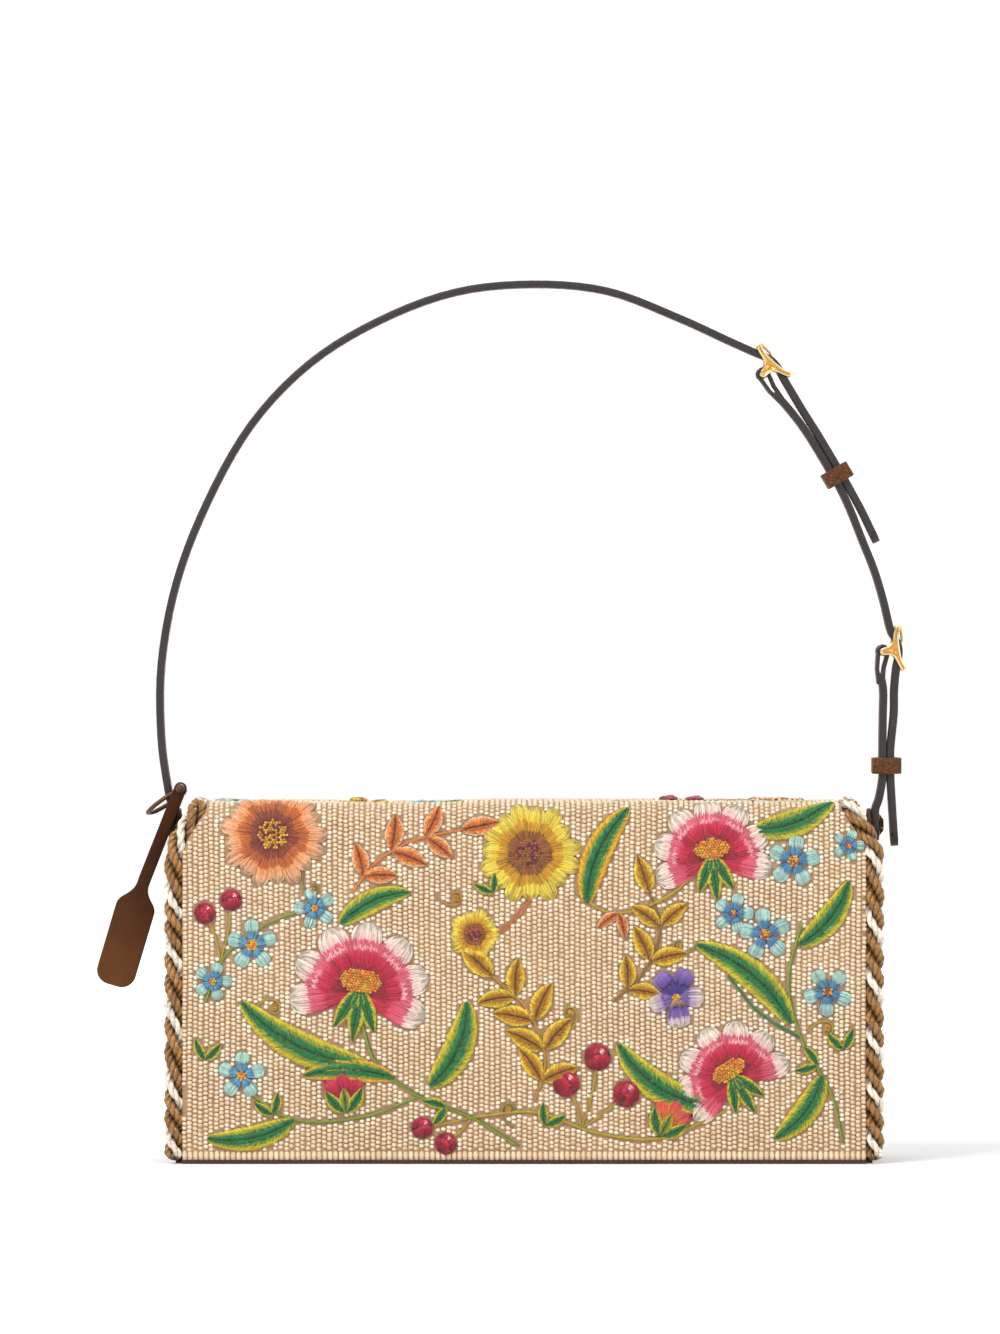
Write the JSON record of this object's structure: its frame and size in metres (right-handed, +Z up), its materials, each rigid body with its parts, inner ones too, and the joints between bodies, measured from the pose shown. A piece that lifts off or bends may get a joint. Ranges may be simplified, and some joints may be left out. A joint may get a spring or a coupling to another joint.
{
  "type": "shoulder bag",
  "caption": "Boxy flap shoulder bag in beaded cloth with twisted rope edges, a leather strap with buckles and keepers, and a hanging tag.",
  "frame": {"origin": "middle of the base panel's underside, on the surface that the bag stands on", "axes": "+X to the buckles, +Y from the flap to the back, +Z up"},
  "size_m": [0.311, 0.0556, 0.3384],
  "materials": {
    "beaded_cloth": "beaded and embroidered",
    "backing": "woven, matt",
    "inner_lining": "woven, matt",
    "board": "matt",
    "wall_leather": "grained, satin",
    "strap_leather": "grained, painted edges",
    "keeper_leather": "grained, satin",
    "tag_leather": "smooth, satin",
    "rope": "twisted, satin",
    "gold_metal": "polished"
  },
  "bodies": {
    "bag": {"base_panel": "wall_leather", "base_board": "board", "back_cloth": "beaded_cloth", "back_lining": "backing", "front_panel": "wall_leather", "gusset_left": "wall_leather", "gusset_right": "wall_leather", "compartment_lining": "inner_lining", "slip_pocket": "inner_lining", "snap_socket": "gold_metal", "strap_rivet_left": "gold_metal", "strap_rivet_right": "gold_metal", "rope_back_left": "rope", "rope_back_right": "rope"},
    "flap_top": {"flap_top_cloth": "beaded_cloth", "flap_top_lining": "backing", "rope_top_left": "rope", "rope_top_right": "rope"},
    "flap_front": {"flap_front_cloth": "beaded_cloth", "flap_front_lining": "backing", "rope_front_left": "rope", "rope_front_right": "rope", "snap_stud": "gold_metal"},
    "strap": {"strap_long": "strap_leather", "strap_middle": "strap_leather", "strap_short": "strap_leather", "buckle_upper": "gold_metal", "buckle_lower": "gold_metal"},
    "prong_upper": {"prong_upper": "gold_metal"},
    "prong_lower": {"prong_lower": "gold_metal"},
    "keeper_upper": {"keeper_upper": "keeper_leather"},
    "keeper_lower": {"keeper_lower": "keeper_leather"},
    "tag_lace": {"tag_lace": "tag_leather"},
    "tag": {"tag": "tag_leather"}
  },
  "joints": [
    {"name": "flap_top_fold", "type": "hinge", "parent": "bag", "child": "flap_top", "pos_m": [0, 0.0235, 0.1355], "axis": [-1, 0, 0], "range_deg": [0, 35]},
    {"name": "flap_front_fold", "type": "hinge", "parent": "flap_top", "child": "flap_front", "pos_m": [0, -0.0235, 0.1355], "axis": [-1, 0, 0], "range_deg": [0, 120]},
    {"name": "strap_swing", "type": "hinge", "parent": "bag", "child": "strap", "pos_m": [0, 0, 0.129], "axis": [-1, 0, 0], "range_deg": [-35, 60]},
    {"name": "prong_upper_turn", "type": "hinge", "parent": "strap", "child": "prong_upper", "pos_m": [0.09188, 0, 0.30241], "axis": [0, 1, 0], "range_deg": [0, 12]},
    {"name": "prong_lower_turn", "type": "hinge", "parent": "strap", "child": "prong_lower", "pos_m": [0.13807, 0, 0.19578], "axis": [0, 1, 0], "range_deg": [0, 12]},
    {"name": "keeper_upper_slide", "type": "slide", "parent": "strap", "child": "keeper_upper", "axis": [-0.5045, 0, 0.8634], "range_m": [0, 0.008]},
    {"name": "keeper_lower_slide", "type": "slide", "parent": "strap", "child": "keeper_lower", "axis": [0, 0, 1], "range_m": [0, 0.01]},
    {"name": "lace_slide", "type": "slide", "parent": "strap", "child": "tag_lace", "axis": [-0.126, 0, 0.992], "range_m": [0, 0.012]},
    {"name": "tag_swing", "type": "hinge", "parent": "tag_lace", "child": "tag", "pos_m": [-0.1319, -0.0095, 0.14334], "axis": [0, 1, 0], "range_deg": [0, 60]}
  ]
}
